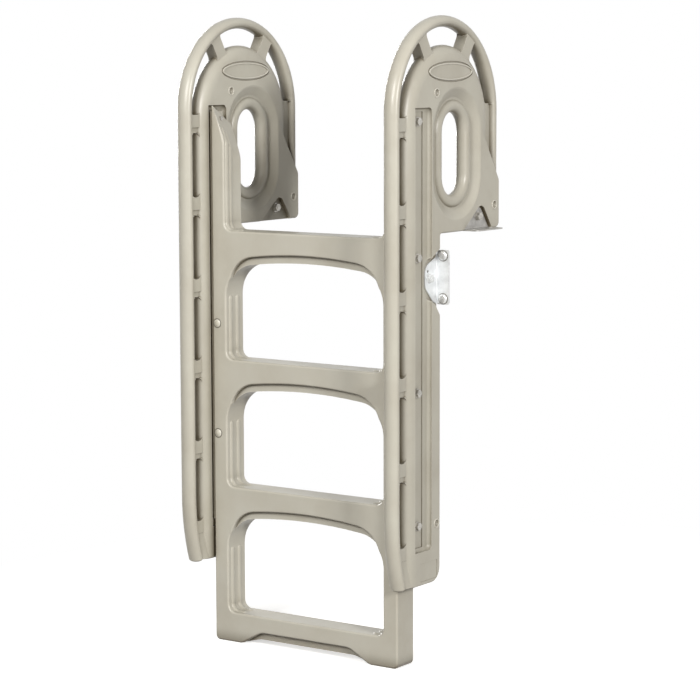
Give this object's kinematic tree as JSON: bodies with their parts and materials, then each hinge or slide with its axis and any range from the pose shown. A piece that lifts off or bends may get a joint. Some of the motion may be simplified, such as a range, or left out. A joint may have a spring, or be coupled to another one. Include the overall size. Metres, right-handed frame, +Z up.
{
  "type": "dock ladder",
  "caption": "Fixed dock ladder: moulded steps between two side rails with looped handrails and hand holes, held to the dock by bolted angle brackets",
  "frame": {"origin": "middle of the underside of the right deck bracket's foot, at the level of the deck", "axes": "+X across the ladder towards its right rail, +Y back over the deck, +Z up"},
  "size_m": [0.698, 0.434, 1.4838],
  "materials": {
    "rail_plastic": "fine matt texture, warm light grey",
    "frame_plastic": "fine matt texture, warm light grey",
    "plug_plastic": "smooth domed cap",
    "bracket_zinc": "dull zinc plate",
    "bolt_zinc": "zinc plated bolts, nuts and washers"
  },
  "bodies": {
    "root": {"step_frame": "frame_plastic", "left_side_rail": "rail_plastic", "left_deck_bracket": "bracket_zinc", "left_dock_face_bracket": "bracket_zinc", "left_stile_bolt_1": "bolt_zinc", "left_stile_bolt_2": "bolt_zinc", "left_stile_bolt_3": "bolt_zinc", "left_stile_bolt_4": "bolt_zinc", "left_deck_bolt": "bolt_zinc", "left_deck_nut": "bolt_zinc", "left_dock_bolt": "bolt_zinc", "left_dock_nut": "bolt_zinc", "left_upper_plug": "plug_plastic", "left_lower_plug": "plug_plastic", "right_side_rail": "rail_plastic", "right_deck_bracket": "bracket_zinc", "right_dock_face_bracket": "bracket_zinc", "right_stile_bolt_1": "bolt_zinc", "right_stile_bolt_2": "bolt_zinc", "right_stile_bolt_3": "bolt_zinc", "right_stile_bolt_4": "bolt_zinc", "right_deck_bolt": "bolt_zinc", "right_deck_nut": "bolt_zinc", "right_dock_bolt": "bolt_zinc", "right_dock_nut": "bolt_zinc", "right_upper_plug": "plug_plastic", "right_lower_plug": "plug_plastic"}
  },
  "joints": []
}
